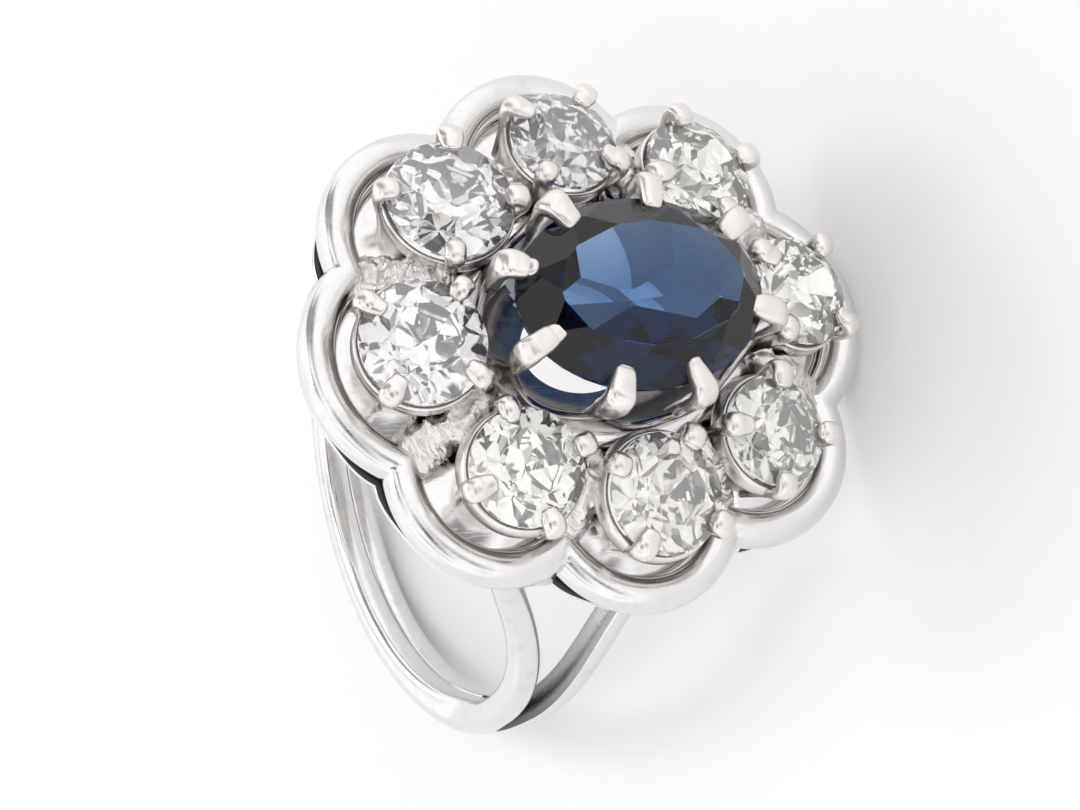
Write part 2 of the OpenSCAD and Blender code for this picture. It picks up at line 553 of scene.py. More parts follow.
@dataclass(frozen=True)
class WhiteGold:
    """A white metal surface: polish, fine scratches, soft waves, random stains and, for some finishes,
    painted shade that darkens it towards the low places of the upright ring.
    """

    name: str
    colour: Colour = (0.76, 0.75, 0.745)
    tarnish_and_shade: Colour = (0.42, 0.4, 0.39)
    polish: float = 0.06
    dull: float = 0.16
    waves: float = 0.012
    scratches: float = 0.0012
    grain: float = 0.0
    stain: float = 0.1
    metallic: float = 1.0
    # Heights in mm in the upright ring: painted shade is near full below the low one and gone above the high
    # one
    shade_low: float | None = None
    shade_high: float = 0.0

    def relief(self, board: Board, at: bpy.types.NodeSocket) -> bpy.types.NodeSocket:
        """The surface's height in mm: soft waves, fine scratches two ways and cast grain.

        Args:
            board: The material's nodes.
            at: The place in mm.

        Returns:
            The height.
        """
        height = board.maths("MULTIPLY", board.noise(at, 0.55, detail=1.0, rough=0.4), self.waves)
        for turn in ((0.4, 0.9, 0.2), (1.3, 0.2, 2.1)):
            lines = board.noise(board.millimetres((14, 0.7, 0.7), turn), 1.0, detail=2.0)
            fine = board.maths("MULTIPLY", board.ramp(lines, low=0.62, high=0.7), self.scratches)
            height = board.maths("SUBTRACT", height, fine)
        if self.grain:
            rough = board.maths("MULTIPLY", board.noise(at, 9.0, detail=4.0, rough=0.7), self.grain)
            height = board.maths("ADD", height, rough)
        return height

    def material(self) -> bpy.types.Material:
        """Makes the material.

        Returns:
            The new material.
        """
        made, board = bare_material(self.name)
        at = board.millimetres()
        worn = board.ramp(board.noise(at, 0.9, detail=5.0, rough=0.6), 0.35, 0.7, self.polish, self.dull)
        stains_and_shade = board.noise(at, 1.6, detail=4.0, rough=0.65)
        stains_and_shade = board.ramp(stains_and_shade, low=0.5, high=0.78, end=self.stain * 3)
        # Painted shade, darker towards the low places of the upright ring, joins the random stains
        if self.shade_low is not None:
            painted_shade = board.ramp(board.upright_height(), self.shade_low, self.shade_high, start=0.92, end=0.0)
            stains_and_shade = board.maths("MAXIMUM", stains_and_shade, painted_shade)
        relief = self.relief(board, at)
        bump = board.add("ShaderNodeBump", {"Height": relief, "Strength": 1.0, "Distance": MM})
        shine = board.add("ShaderNodeBsdfPrincipled", {
            "Base Color": board.blend(stains_and_shade, rgba(self.colour), rgba(self.tarnish_and_shade)),
            "Metallic": self.metallic, "Roughness": worn, "Normal": bump.outputs[0]})
        board.add("ShaderNodeOutputMaterial", {"Surface": shine.outputs[0]})
        return made


@dataclass(frozen=True)
class CutGem:
    """A clear cut stone, tinted at its surface and through its depth, with clouds and specks in it, and for
    some stones crown facets painted dark.
    """

    name: str
    tint: Colour
    cloud: Colour
    ior: float
    depth_colour: Colour
    density: float
    zone: float = 0.6
    clear: float = 1.0
    gloss: Colour = (1.0, 1.0, 1.0)
    # A near-black tint for the crown facets between two heights: painted darkness standing in for the crown's
    # dark reflections
    rim: Colour | None = None
    rim_low: float = 0.0
    rim_high: float = 0.0

    def material(self) -> bpy.types.Material:
        """Makes the material.

        Returns:
            The new material.
        """
        made, board = bare_material(self.name)
        at = board.millimetres()
        clouds = board.ramp(board.noise(at, self.zone, rough=0.6), low=0.45, high=0.7)
        specks = board.ramp(board.noise(at, 7.0, detail=2.0, rough=0.6), low=0.7, high=0.75, end=0.6)
        tint = board.blend(clouds, rgba(self.tint), rgba(self.cloud))
        tint = board.blend(specks, tint, rgba(self.tint, 0.35))
        # Painted darkness: crown facets between girdle and table are tinted near black
        if self.rim:
            z = board.upright_height()
            over_girdle = board.ramp(z, self.rim_low, self.rim_low + 0.05)
            under_table = board.ramp(z, self.rim_high - 0.03, self.rim_high - 0.01, start=1.0, end=0.0)
            tint = board.blend(board.maths("MULTIPLY", over_girdle, under_table), tint, rgba(self.rim))
        body = board.add("ShaderNodeBsdfPrincipled", {
            "Base Color": tint, "Roughness": 0.0, "IOR": self.ior, "Transmission Weight": self.clear,
            "Specular Tint": rgba(self.gloss)})
        inputs = {"Color": rgba(self.depth_colour), "Density": self.density}
        depth = board.add("ShaderNodeVolumeAbsorption", inputs)
        board.add("ShaderNodeOutputMaterial", {"Surface": body.outputs[0], "Volume": depth.outputs[0]})
        return made


@dataclass(frozen=True)
class StudioPaper:
    """Plain pale paper for the floor."""

    name: str = "studio_paper"
    colour: Colour = (0.95, 0.95, 0.945)
    fibre_shade: float = 0.97

    def material(self) -> bpy.types.Material:
        """Makes the material.

        Returns:
            The new material.
        """
        made, board = bare_material(self.name)
        fibres = board.noise(board.millimetres(), 0.8, detail=4.0, rough=0.6)
        tone = board.blend(fibres, rgba(self.colour), rgba(self.colour, self.fibre_shade))
        sheet = board.add("ShaderNodeBsdfPrincipled", {"Base Color": tone, "Roughness": 0.8})
        board.add("ShaderNodeOutputMaterial", {"Surface": sheet.outputs[0]})
        return made


class Polish(Enum):
    """The metal's surfaces. Some are lighter or darker copies of the metal, with painted light or painted
    shade in their colour.
    """

    BRIGHT = WhiteGold("bright_white_gold", polish=0.1, dull=0.2)
    SATIN = WhiteGold("satin_white_gold", polish=0.15, dull=0.28, waves=0.008, grain=0.0025, stain=0.06)
    CLAW = WhiteGold("claw_white_gold", colour=(0.79, 0.755, 0.73), polish=0.24, dull=0.36, waves=0.003,
                     scratches=0.0003, stain=0.06)
    # Darker, browner metal for the coronet's cup: brownish stains together with painted shade of the recess
    INNER = WhiteGold("inner_white_gold", colour=(0.5, 0.46, 0.45), tarnish_and_shade=(0.22, 0.18, 0.17),
                      polish=0.12, dull=0.26, waves=0.012, stain=0.3)
    # The near floor of the sapphire's bowl, painted dark as shade
    SHADED = WhiteGold("shaded_white_gold", colour=(0.17, 0.155, 0.15), tarnish_and_shade=(0.09, 0.08, 0.07),
                       polish=0.12, dull=0.26, stain=0.3)
    # The far part of the sapphire's bowl, painted light: a pale, half diffuse copy of the metal
    LIT_BOWL = WhiteGold("painted_light_bowl_white_gold", colour=(0.92, 0.92, 0.92), polish=0.45, dull=0.55, waves=0.004,
                     stain=0.0, metallic=0.3)
    # Unpolished grainy metal for the insides of the forks, its colour painted darker as shade between the
    # arms and painted near black towards the crotch
    CAST_AND_SHADE = WhiteGold("cast_white_gold_painted_shade", colour=(0.42, 0.41, 0.405), tarnish_and_shade=(0.05, 0.048, 0.045),
                     polish=0.26, dull=0.4, waves=0.01, grain=0.025, stain=0.15, shade_low=-14.5,
                     shade_high=-5.5)
    # Near-black paint for the undercut groove under the border: painted shade
    UNDERCUT_SHADE = WhiteGold("painted_shade_undercut", colour=(0.07, 0.068, 0.065), tarnish_and_shade=(0.05, 0.05, 0.05),
                          polish=0.35, dull=0.5, stain=0.2)
    SOLDER = WhiteGold("rough_solder", colour=(0.76, 0.74, 0.72), polish=0.14, dull=0.26, waves=0.02,
                       grain=0.02, stain=0.1)


# The finished materials, which main() makes once for all pieces
FINISHES: dict[Polish, bpy.types.Material] = {}


class MetalPart:
    """A part of the soldered metal, drawn first and then given its finishes."""

    name: str
    polishes: ClassVar[tuple[Polish, ...]] = (Polish.BRIGHT,)
    sharp: ClassVar[float] = 50.0

    def build(self) -> Draft:
        """Draws the part."""
        raise NotImplementedError

    def dress(self) -> bpy.types.Object:
        """Makes the piece with its finishes."""
        finishes = [FINISHES[polish] for polish in self.polishes]
        return self.build().piece(self.name, finishes, Slot.METAL, [METAL_NODE], self.sharp)


@dataclass
class Shank(MetalPart):
    """The band, which splits in two arms at each shoulder, as four joined strands."""

    name = "split_shank"
    polishes = (Polish.BRIGHT, Polish.CAST_AND_SHADE)

    plan: ClusterPlan
    band_t: float = 1.28
    band_gain: float = 0.4
    band_w: float = 1.85
    side_fall: float = 0.3
    finger_ease: float = 0.06
    arm_w: float = 1.08
    arm_t: float = 1.13
    arm_spread: float = 3.65
    arm_root_h: float = 0.75
    arm_top: tuple[float, float] = (7.62, -0.9)
    low_angle: float = 62.0
    fork_start: float = 0.015
    fork_length: float = 0.17
    seam_start: float = -0.35
    seam_length: float = 0.4
    seam_press: float = 1.1
    shaded_cast_above: float = -14.8
    shaded_cast_facing: float = -0.45
    band_rings: int = 44
    arm_rings: int = 72
    sides: int = 36

    def guides(self) -> list[Vector]:
        """The points that pull the arm's middle line towards themselves.

        Returns:
            The points, from inside the band up to the border.
        """
        drop, low = self.plan.hole_drop, math.radians(self.low_angle)
        low_r = self.plan.hole_r + self.arm_root_h
        top_x, top_z = self.arm_top
        return [Vector((low_r * math.sin(low), 0.45, -drop - low_r * math.cos(low))),
                Vector((11.25, 1.28, 0.85 - drop)),
                Vector((9.08, -0.06, 6.58 - drop)),
                Vector((4.52, self.arm_spread + 0.65, 4.68 - drop)),
                Vector((top_x, self.arm_spread, top_z))]

    def middle(self, t: float) -> Vector:
        """The arm's middle line, a smooth curve that the guides pull at.

        Args:
            t: From 0 in the band to 1 at the border.

        Returns:
            The point.
        """
        points = self.guides()
        while len(points) > 1:
            points = [(1 - t) * a + t * b for a, b in zip(points, points[1:])]
        return points[0]

    def band_point(self, angle: float, u: float, v: float) -> Vector:
        """A point on half of the band's section.

        Args:
            angle: Angle up from the bottom, in degrees.
            u: From -1 on the seam in the middle to 1 on the side.
            v: From -1 on the finger's side to 1 outside.

        Returns:
            The point.
        """
        a = math.radians(angle)
        gain = self.band_gain
        outer_r = self.plan.hole_r + self.band_t + gain
        outer = math.sqrt(outer_r ** 2 - (gain * math.sin(a)) ** 2) - gain * math.cos(a)
        share = (1 + u) / 2
        outer -= self.side_fall * share * share
        inner = self.plan.hole_r + self.finger_ease * share ** 4
        r = inner + (outer - inner) * (1 + v) / 2
        y = self.band_w / 2 * share
        return Vector((r * math.sin(a), y, -self.plan.hole_drop - r * math.cos(a)))

    def ring(self, s: float) -> list[Vector]:
        """One section of a strand: the half band's, the arm's or a mix of both at the fork.

        Args:
            s: From -1 at the bottom of the band through 0 to 1 at the border.

        Returns:
            The points round the section.
        """
        t = max(0.0, s)
        here = self.middle(t)
        along = (self.middle(t + 0.01) - self.middle(t - 0.01)).normalized()
        side = (Vector((0, 1, 0)) - along * along.y).normalized()
        out = side.cross(along)
        rise = math.degrees(math.atan2(here.x, -here.z - self.plan.hole_drop))
        angle = self.low_angle * (1 + s) if s < 0 else rise
        split = eased((s - self.fork_start) / self.fork_length)
        seam = 0.22 + 0.2 * eased((s - self.seam_start) / self.seam_length)
        ring = []
        for j in range(self.sides):
            way = unit(360 * j / self.sides)
            u = squared(way.x, 0.5 if way.x > 0 else seam)
            u = max(-1.0, self.seam_press * u) if u < 0 else u
            low = self.band_point(angle, u, squared(way.y, 0.5))
            u, v = squared(way.x, 0.72), squared(way.y, 0.72)
            high = here + side * self.arm_w / 2 * u + out * self.arm_t / 2 * v
            point = low.lerp(high, split)
            point.y = max(0.0, point.y)
            ring.append(point)
        return ring

    def build(self) -> Draft:
        """Draws all four strands, welds them and marks the insides of the forks, which are unpolished and
        carry painted shade: darker grey between the arms, near black towards the crotch.

        Returns:
            The drawing.
        """
        draft = Draft()
        rings = [self.ring(i / self.band_rings - 1) for i in range(self.band_rings)]
        rings += [self.ring(i / self.arm_rings) for i in range(self.arm_rings + 1)]
        for x in (1, -1):
            for y in (1, -1):
                draft.loft([[Vector((p.x * x, p.y * y, p.z)) for p in ring] for ring in rings])
        flat = [face for face in draft.mesh.faces
                if any(all(abs(v.co[axis]) < 1e-5 for v in face.verts) for axis in (0, 1))]
        bmesh.ops.delete(draft.mesh, geom=flat, context="FACES")
        seam = [v for v in draft.mesh.verts if min(abs(v.co.x), abs(v.co.y)) < 1e-5]
        bmesh.ops.remove_doubles(draft.mesh, verts=seam, dist=1e-4)
        draft.mesh.normal_update()
        for face in draft.mesh.faces:
            middle = face.calc_center_median()
            inward = face.normal.y * math.copysign(1, middle.y)
            # The fork's inward faces get the unpolished finish with its painted shade
            face.material_index = int(middle.z > self.shaded_cast_above and inward < self.shaded_cast_facing)
        return draft


@dataclass
class ScallopedBorder(MetalPart):
    """The polished border in eight lobes, with a thin wire inside and a lower inset wall whose undercut is
    painted near black as shade.
    """

    name = "scalloped_border"
    polishes = (Polish.SATIN, Polish.UNDERCUT_SHADE)
    sharp = 42.0

    plan: ClusterPlan
    steps: int = 44
    width: float = 1.2
    dome: float = 0.42
    web_top: float = -0.83
    web_inset: float = 0.7
    web_out: float = 0.32
    web_share: float = 0.3
    undercut_rows: tuple[int, int] = (3, 8)

    def section(self) -> list[tuple[float, float]]:
        """The border's section, up outside, over the dome and down inside.

        Returns:
            Insets from the outline and heights.
        """
        half = self.width / 2
        foot_and_undercut = [(0.44, -1.35), (0.38, -1.31), (0.36, -1.25), (0.38, -1.18), (0.44, -1.13),
                             (0.58, -1.1), (0.6, -0.92), (0.5, -0.84)]
        outer_side = [(0.22, -0.8), (0.11, -0.72), (0.05, -0.6), (0.015, -0.44), (0.0, -0.26), (0.01, -0.1),
                      (0.035, 0.03)]
        ways = [unit(180 - 12 * i) for i in range(1, 15)]
        dome = [(half + (half - 0.03) * squared(way.x, 0.95), self.dome * squared(way.y, 0.9))
                for way in ways]
        inner_wire = [(0.0, 0.08), (0.01, -0.08), (0.01, -0.17), (0.05, -0.16), (0.1, -0.18), (0.13, -0.24),
                      (0.12, -0.31), (0.07, -0.36), (0.03, -0.4), (0.02, -0.7), (0.0, -1.3)]
        inside = [(self.width + past, z) for past, z in inner_wire]
        return foot_and_undercut + outer_side + dome + inside + [(0.9, -1.38), (0.5, -1.4), (0.4, -1.39)]

    def build(self) -> Draft:
        """Draws the border, whose lower wall stands further out near each crease so that its undercut,
        painted near black as shade, shows there as a dark crescent.

        Returns:
            The drawing.
        """
        draft = Draft()
        section = self.section()
        rings = []
        for k in range(8):
            lines = [self.plan.lobe_line(k, inset, self.steps) for inset, _ in section]
            webs = [self.plan.lobe_line(k, inset - self.web_out, self.steps)
                    if z < self.web_top and inset < self.web_inset else line
                    for line, (inset, z) in zip(lines, section)]
            for i in range(self.steps):
                from_crease = min(i, self.steps - i) / self.steps
                share = 1 - eased(from_crease / self.web_share)
                rings.append([Vector((*line[i].lerp(web[i], share), z))
                              for line, web, (_, z) in zip(lines, webs, section)])
        draft.loft(rings, closed=True)
        # The undercut's rows get the near-black painted shade
        low, high = self.undercut_rows
        for n, face in enumerate(draft.mesh.faces):
            face.material_index = int(low <= n % len(section) < high)
        return draft


@dataclass
class GalleryPlate(MetalPart):
    """The polished plate under the stones, dished round each collet, and the ledge of the coronet."""

    name = "gallery_plate"

    plan: ClusterPlan
    around: int = 96
    inset: float = 1.04
    narrowest: float = 0.02

    def reach(self, k: int, way: Vector) -> float:
        """How far the plate's cell k reaches from its collet's foot.

        Args:
            k: The cell.
            way: Flat unit vector.

        Returns:
            The distance to the border, the coronet or the next cell, whichever is nearest.
        """
        foot = self.plan.foot(k)
        apart = foot - self.plan.lobe_middle(k)
        along = apart.dot(way)
        r = self.plan.lobe_r(k) - self.inset
        best = -along + math.sqrt(along * along + r * r - apart.length_squared)
        for other in (k - 1, k + 1):
            between = self.plan.foot(other % 8) - foot
            facing = way.dot(between.normalized())
            if facing > 1e-3:
                best = min(best, between.length / 2 / facing)
        a, b = self.plan.sapphire_short + 0.02, self.plan.sapphire_long + 0.02
        p = Vector((foot.x / a, foot.y / b))
        d = Vector((way.x / a, way.y / b))
        square = d.length_squared
        inner = p.dot(d) ** 2 - square * (p.length_squared - 1)
        if inner > 0 and p.dot(d) < 0:
            best = min(best, (-p.dot(d) - math.sqrt(inner)) / square)
        return max(best, self.plan.collet_foot + self.narrowest)

    def build(self) -> Draft:
        """Draws the eight cells and the ledge.

        Returns:
            The drawing.
        """
        draft = Draft()
        start, bottom = self.plan.collet_foot, self.plan.metal_bottom
        dish = ((0.0, 0.16), (0.06, 0.1), (0.15, 0.02), (0.3, -0.1), (0.5, -0.24), (0.7, -0.36),
                (0.86, -0.45), (0.95, -0.53), (1.0, -0.6))
        for k in range(8):
            foot = self.plan.foot(k)
            rings = []
            for i in range(self.around):
                way = unit(360 * i / self.around)
                far = self.reach(k, way)
                ring = [(start + (far - start) * share, z) for share, z in dish]
                ring = [(start, bottom), *ring, (far, bottom)]
                rings.append([Vector((*(foot + s * way), z)) for s, z in ring])
            draft.loft(rings, closed=True)
        ledge = ((0.3, 1.1), (0.3, 1.6), (0.55, 1.62), (0.8, 1.58), (1.02, 1.48), (1.12, 1.36),
                 (1.1, 1.24), (0.95, 1.14))
        draft.loft([[self.plan.oval(grow, 2.5 * i, z) for grow, z in ledge] for i in range(144)], closed=True)
        return draft


@dataclass
class Collet(MetalPart):
    """An open cone cup with a rim band and four small claws bent over the stone."""

    polishes = (Polish.CLAW,)

    plan: ClusterPlan
    k: int
    turn: float
    lip: float
    top: float = -0.3

    def __post_init__(self) -> None:
        """Names the piece after its stone."""
        self.name = f"collet_{self.k + 1}"

    def wall(self, h: float) -> float:
        """Outer radius of the cone at a height on the stone's axis."""
        growth = self.plan.diamond_r(self.k) + 0.08 - self.plan.collet_foot
        return self.plan.collet_foot + growth * (h + self.plan.collet_h) / (self.plan.collet_h + self.top)

    def crown(self, s: float) -> float:
        """Height of the stone's crown at a distance from its axis."""
        return 0.06 + 0.69 * (self.plan.diamond_r(self.k) - s)

    def claw(self, draft: Draft, angle: float, dice: random.Random) -> None:
        """Draws one claw.

        Args:
            draft: The drawing to add to.
            angle: Its angle round the stone, in degrees.
            dice: Source of the small differences between claws.
        """
        r = self.plan.diamond_r(self.k)
        wide = dice.uniform(0.76, 0.94)
        long = dice.uniform(-0.06, 0.16)
        lean = dice.uniform(-0.08, 0.08)
        tip = r - 0.36 - long
        # Distance from the axis, height, width and thickness, from the foot over the girdle to the tip
        rows = [(self.wall(-2.9) + 0.02, -2.9, 0.4, 0.3),
                (self.wall(-2.0) + 0.03, -2.0, 0.4, 0.3),
                (self.wall(-1.1) + 0.05, -1.1, 0.44, 0.32),
                (self.wall(-0.4) + 0.1, -0.45, 0.56, 0.38),
                (r + 0.27, 0.05, wide - 0.1, 0.46),
                (r + 0.24, 0.38, wide, 0.52),
                (r + 0.03, self.crown(r) + 0.42, wide, 0.52),
                (r - 0.2, self.crown(r - 0.2) + 0.3, wide - 0.05, 0.44),
                (tip, self.crown(tip) + 0.18, wide - 0.24, 0.3)]
        guides = [Guide(Vector((s, lean * max(0.0, h + 0.4), h)), w, t) for s, h, w, t in rows]
        place = self.plan.diamond_place(self.k) @ turned(angle, "Z")
        draft.bar(through(guides, 5), Vector((0, 1, 0)), 0.92, 20, place)

    def profile(self) -> list[tuple[float, float]]:
        """The cup's section, up outside and down inside.

        Returns:
            Distances from the stone's axis and heights.
        """
        r, lip, top, low = self.plan.diamond_r(self.k), self.lip, self.top, -self.plan.collet_h
        foot = self.plan.collet_foot
        cone = [(foot, low), (self.wall(-2.4), -2.4), (self.wall(-1.3), -1.3),
                (self.wall(-1.15) + 0.02, -1.15)]
        band = [(r - 0.15 + lip, -1.06), (r - 0.05 + lip, -0.97), (r + lip, -0.87), (r + 0.005 + lip, -0.78),
                (r - 0.03 + lip, -0.62), (r - 0.06 + lip, -0.46), (r + min(0.11, lip), -0.36)]
        edge = [(r + 0.07, top - 0.01), (r + 0.02, top), (r - 0.06, top - 0.03), (r - 0.1, top - 0.12)]
        inside = [(r - 0.2, -0.7), (r - 0.4, -1.4), (foot - 0.3, -2.6), (foot - 0.4, low)]
        return cone + band + edge + inside

    def build(self) -> Draft:
        """Draws the cup and its claws.

        Returns:
            The drawing.
        """
        draft = Draft()
        draft.turn(self.profile(), 72, self.plan.diamond_place(self.k))
        dice = random.Random(40 + self.k)
        for i in range(4):
            self.claw(draft, 45 + 90 * i + self.turn + dice.uniform(-3, 3), dice)
        return draft


@dataclass
class SolderBridges(MetalPart):
    """Rough solder between neighbouring collets, filed at some places."""

    name = "solder_bridges"
    polishes = (Polish.SOLDER,)
    sharp = 60.0

    plan: ClusterPlan
    filed: tuple[int, ...] = (5, 6, 0)
    strokes: float = 36.0
    stroke_depth: float = 0.4

    def build(self) -> Draft:
        """Draws the eight bridges.

        Returns:
            The drawing.
        """
        draft = Draft()
        for k in range(8):
            corner = self.plan.meet(k, 0.9)
            mid = (self.plan.diamond_middle(k).xy + self.plan.diamond_middle((k + 1) % 8).xy) / 2
            inner = mid.lerp(corner, 0.05) * 0.87
            # Place, height and width, from the border in to the coronet
            rows = [(corner, 0.15, 1.6), (corner.lerp(inner, 0.3), 0.95, 1.5),
                    (corner.lerp(inner, 0.62), 1.65, 1.2), (inner, 2.0, 0.95)]
            guides = [Guide(Vector((*p, z - 0.55)), wide, 1.2) for p, z, wide in rows]
            way = Vector((*(inner - corner), 0)).normalized()
            across = Vector((-(inner - corner).y, (inner - corner).x, 0)).normalized()
            draft.bar(through(guides, 30), across, 0.8, 36, shape=self.worn(k, way))
        return draft

    def worn(self, k: int, way: Vector) -> Callable[[Vector], Vector]:
        """The crumbled and filed surface of bridge k.

        Args:
            k: The bridge.
            way: The way along it.

        Returns:
            A function that moves a point of the bridge.
        """
        def shape(point: Vector) -> Vector:
            """Moves one point.

            Args:
                point: Where it is.

            Returns:
                Where it goes.
            """
            crumbs = noise.noise_vector(point * 1.7 + Vector((k, 0, 0))) * 0.22
            crumbs += noise.noise_vector(point * 4.5) * 0.09 + noise.noise_vector(point * 10.0) * 0.04
            if k in self.filed:
                stroke = math.sin(point.dot(way) * self.strokes + 1.2 * noise.noise(point * 1.5))
                patch = eased(4 * noise.noise(point * 1.3 + Vector((0, 0, 1.7 * k))) - 0.2)
                crumbs.z -= self.stroke_depth * patch * max(0.0, stroke - 0.7)
            return point + crumbs
        return shape


@dataclass
class Coronet(MetalPart):
    """The flared oval cup of the sapphire, cut in cells, with eight heavy claws."""

    name = "sapphire_coronet"
    polishes = (Polish.CLAW, Polish.INNER, Polish.LIT_BOWL, Polish.SHADED)

    plan: ClusterPlan
    foot_z: float = -1.25
    wall: float = 0.34
    edge_z: float = 3.35
    cell_depth: float = 1.5
    first_claw: float = 22.5
    bowl_z: float = 0.7
    bowl_bottom: float = -0.74
    bright_z: float = 3.6
    # Flat directions, and how far along each the part of the bowl painted as lit reaches; the rest of the
    # bowl's floor is painted shade
    bright_sides: tuple[tuple[float, float, float], ...] = ((0.48, -0.88, 0.9), (1.0, 0.0, 1.8))
    window_long: float = 2.25
    window_short: float = 1.7
    # How far each claw leans round the stone, in degrees, and how much its tip is cut short
    claw_lean: tuple[float, ...] = (-9.0, 2.0, 10.0, 7.0, 6.0, 0.0, 0.0, 0.0)
    claw_cut: tuple[float, ...] = (0.0, 0.0, 0.0, 0.0, 0.0, 0.5, 0.0, 0.0)
    claw_unevenness: float = 0.045
    steps: int = 192

    def edge(self, angle: float) -> float:
        """Height of the cup's upper edge, which dips between the claws."""
        dip = abs(math.sin(math.radians(4 * (angle - self.first_claw)))) ** 0.7
        return self.edge_z - self.cell_depth * dip

    def spread(self, z: float) -> float:
        """Growth of the cup's inner face over the sapphire's outline."""
        share = (z - self.foot_z) / (self.plan.sapphire_z - self.foot_z)
        return -0.35 + 0.85 * share + 0.08 * math.sin(math.pi * share)

    def section(self, angle: float) -> list[Vector]:
        """The cup's section at an angle: up outside, down inside and in to the window.

        Args:
            angle: Parametric angle in degrees.

        Returns:
            The points of the section.
        """
        top, bottom = self.edge(angle), self.plan.metal_bottom
        grow, shoulder = self.spread(top), top - 0.06
        rows = [(self.spread(self.foot_z) + self.wall, bottom)]
        heights = [self.foot_z + (shoulder - self.foot_z) * j / 8 for j in range(9)]
        rows += [(self.spread(z) + self.wall, z) for z in heights]
        rows += [(grow + self.wall - 0.05, top - 0.01), (grow + self.wall / 2, top),
                 (grow + 0.05, top - 0.01)]
        heights = [shoulder - (shoulder - self.bowl_z) * j / 8 for j in range(8)]
        rows += [(self.spread(z), z) for z in heights]
        ring = [self.plan.oval(past, angle, z) for past, z in rows]
        way = unit(angle)
        window = Vector((self.window_short * way.x, self.window_long * way.y))
        side = self.plan.oval(self.spread(self.bowl_z), angle, 0).xy
        for turn in (unit(90 * j / 8) for j in range(9)):
            z = self.bowl_z - (self.bowl_z - self.bowl_bottom) * turn.y
            ring.append(Vector((*side.lerp(window, 1 - turn.x), z)))
        ring.append(Vector((*window, bottom)))
        return ring

    def finish_number(self, face: bmesh.types.BMFace) -> int:
        """Which of the cup's finishes a face has: painted light on one side of the bowl and its wall, painted
        shade on the rest of its floor, and elsewhere the darker inner finish, which is partly painted shade.

        Args:
            face: The face.

        Returns:
            The finish's number in the list of polishes.
        """
        middle = face.calc_center_median()
        share = Vector((middle.x / self.plan.sapphire_short, middle.y / self.plan.sapphire_long))
        faces_in = face.normal.z > 0.1 or face.normal.xy.dot(middle.xy) < 0
        if share.length < 1.06 and faces_in:
            bright = all(middle.xy.dot((x, y)) < limit for x, y, limit in self.bright_sides)
            if bright and middle.z < self.bright_z:
                return self.polishes.index(Polish.LIT_BOWL)
            if middle.z < self.bowl_z + 0.2:
                return self.polishes.index(Polish.SHADED)
        return self.polishes.index(Polish.CLAW if face.normal.z < -0.5 else Polish.INNER)

    def claw(self, draft: Draft, k: int, dice: random.Random) -> None:
        """Draws one claw, with hand-filed, slightly uneven faces.

        Args:
            draft: The drawing to add to.
            k: The claw.
            dice: Source of the small differences between claws.
        """
        girdle = self.plan.sapphire_z
        angle = self.first_claw + 45 * k + dice.uniform(-1.2, 1.2)
        wide = dice.uniform(0.9, 1.06)
        long = dice.uniform(-0.1, 0.16)
        # Growth over the stone's outline, height, width and thickness, from the foot to the tip
        rows = [(-0.05, self.foot_z, 0.46, 0.4), (0.13, 0.7, 0.5, 0.42), (0.32, 2.7, 0.62, 0.5),
                (0.5, 3.8, wide - 0.1, 0.62), (0.58, girdle + 0.1, wide, 0.7),
                (0.46, girdle + 0.39, wide, 0.67), (0.16, girdle + 0.48, wide - 0.04, 0.59),
                (-0.16, girdle + 0.52, wide - 0.14, 0.5), (-0.42, girdle + 0.54, wide - 0.26, 0.42),
                (-0.52 - long, girdle + 0.56 + long / 2, wide - 0.38, 0.36)]
        guides = []
        for grow, z, width, thick in rows:
            leaning = angle + self.claw_lean[k] * eased((z - self.foot_z) / (girdle - self.foot_z))
            grow = max(grow, grow * (1 - self.claw_cut[k]))
            guides.append(Guide(self.plan.oval(grow, leaning, z), width, thick))
        inward = self.plan.oval(0, angle + self.claw_lean[k], 0).normalized()
        shift = noise.noise_vector(Vector((k * 3.1, 0, 0))) * 4

        def shape(point: Vector) -> Vector:
            """Moves one point of the claw's surface."""
            return point + noise.noise_vector(point * 1.5 + shift) * self.claw_unevenness

        draft.bar(through(guides, 6), UP.cross(inward), 0.66, 22, shape=shape)

    def build(self) -> Draft:
        """Draws the cup and its claws.

        Returns:
            The drawing.
        """
        draft = Draft()
        draft.loft([self.section(360 * i / self.steps) for i in range(self.steps)], closed=True)
        draft.mesh.normal_update()
        for face in draft.mesh.faces:
            face.material_index = self.finish_number(face)
        dice = random.Random(7)
        for k in range(8):
            self.claw(draft, k, dice)
        return draft


@dataclass(frozen=True)
class Facets:
    """A row of facets that the cutter grinds at one slope round the stone."""

    count: int
    first: float
    slope: float
    height: float
    reach: float = 1.0
    steeper_ends: float = 0.0
    longer_ends: float = 0.0


